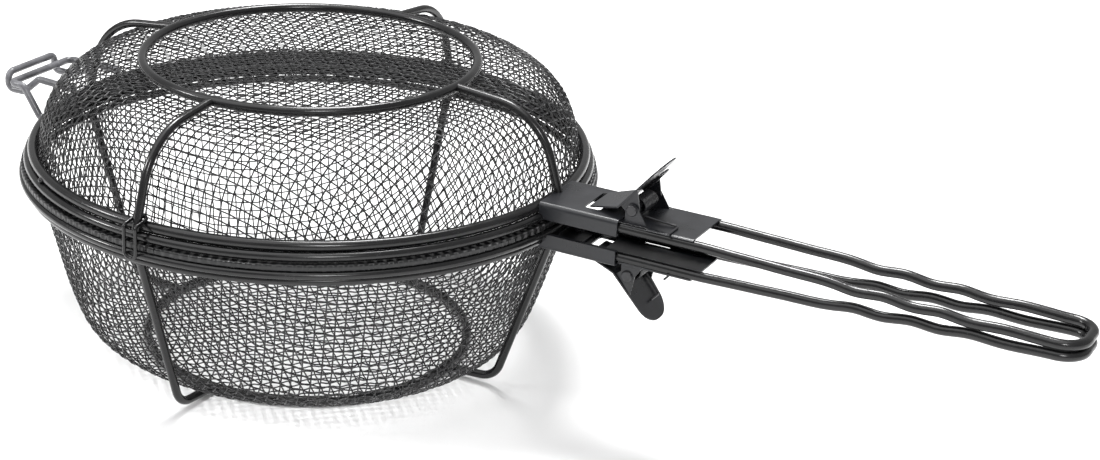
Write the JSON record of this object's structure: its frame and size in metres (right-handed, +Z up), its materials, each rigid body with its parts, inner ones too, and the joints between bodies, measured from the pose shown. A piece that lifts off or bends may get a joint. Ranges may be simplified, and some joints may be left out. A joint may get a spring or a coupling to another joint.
{
  "type": "grill basket",
  "caption": "Round wire-mesh grill basket: a deep lower bowl and shallow hinged upper bowl on wire rings and ribs, side clips, and two long wire handles with sprung thumb levers.",
  "frame": {"origin": "on the bowls' axis, at the underside of the base ring, where the basket rests", "axes": "+Z up along the bowls' axis, +X towards the handle tips, +Y across"},
  "size_m": [0.6011, 0.309, 0.1609],
  "materials": {
    "black_mesh": "thin black non-stick coat on woven steel wire, satin",
    "coated_wire": "black non-stick coat on heavy round steel wire, semi-gloss",
    "coated_sheet": "black non-stick coat on pressed steel sheet, satin",
    "hinge_wire": "dark grey coat on steel wire, worn lighter where it rubs, semi-gloss",
    "spring_steel": "dark spring steel, semi-gloss"
  },
  "bodies": {
    "lower_bowl": {"lower_mesh": "black_mesh", "lower_hem": "coated_wire", "lower_wide_ring": "coated_wire", "lower_under_ring": "coated_wire", "base_ring": "coated_wire", "hinge_staple": "hinge_wire", "lower_bracket": "coated_sheet", "lower_rib_front": "coated_wire", "lower_rib_left": "coated_wire", "lower_rib_rear": "coated_wire", "lower_rib_right": "coated_wire"},
    "upper_bowl": {"upper_mesh": "black_mesh", "upper_inner_rim": "coated_wire", "upper_outer_rim": "coated_wire", "top_ring": "coated_wire", "hinge_hook": "hinge_wire", "upper_bracket": "coated_sheet", "upper_rib_front": "coated_wire", "upper_rib_left": "coated_wire", "upper_rib_rear": "coated_wire", "upper_rib_right": "coated_wire"},
    "right_clip": {"clip_right": "coated_wire"},
    "left_clip": {"clip_left": "coated_wire"},
    "upper_handle": {"upper_handle_wire": "coated_wire", "upper_handle_plate": "coated_sheet", "upper_pivot_pin": "spring_steel", "upper_spring_coil": "spring_steel"},
    "upper_lever": {"upper_thumb_lever": "coated_sheet", "upper_spring_arm": "spring_steel"},
    "lower_handle": {"lower_handle_wire": "coated_wire", "lower_handle_plate": "coated_sheet", "lower_pivot_pin": "spring_steel", "lower_spring_coil": "spring_steel"},
    "lower_lever": {"lower_thumb_lever": "coated_sheet", "lower_spring_arm": "spring_steel"}
  },
  "joints": [
    {"name": "lid_hinge", "type": "hinge", "parent": "lower_bowl", "child": "upper_bowl", "pos_m": [-0.1839, 0, 0.1151], "axis": [0, -1, 0], "range_deg": [0, 100]},
    {"name": "right_clip_swing", "type": "hinge", "parent": "upper_bowl", "child": "right_clip", "pos_m": [0, -0.1434, 0.1166], "axis": [-1, 0, 0], "range_deg": [0, 100]},
    {"name": "left_clip_swing", "type": "hinge", "parent": "upper_bowl", "child": "left_clip", "pos_m": [0, 0.1434, 0.1166], "axis": [1, 0, 0], "range_deg": [0, 100]},
    {"name": "upper_handle_pull", "type": "slide", "parent": "upper_bowl", "child": "upper_handle", "axis": [1, 0, 0], "range_m": [0, 0.045]},
    {"name": "lower_handle_pull", "type": "slide", "parent": "lower_bowl", "child": "lower_handle", "axis": [1, 0, 0], "range_m": [0, 0.045]},
    {"name": "upper_lever_press", "type": "hinge", "parent": "upper_handle", "child": "upper_lever", "pos_m": [0.193, 0, 0.121], "axis": [0, 1, 0], "range_deg": [0, 25], "stiffness_Nm_per_rad": 0.15, "springref_deg": -22.92},
    {"name": "lower_lever_press", "type": "hinge", "parent": "lower_handle", "child": "lower_lever", "pos_m": [0.193, 0, 0.087], "axis": [0, -1, 0], "range_deg": [0, 25], "stiffness_Nm_per_rad": 0.15, "springref_deg": -22.92}
  ]
}
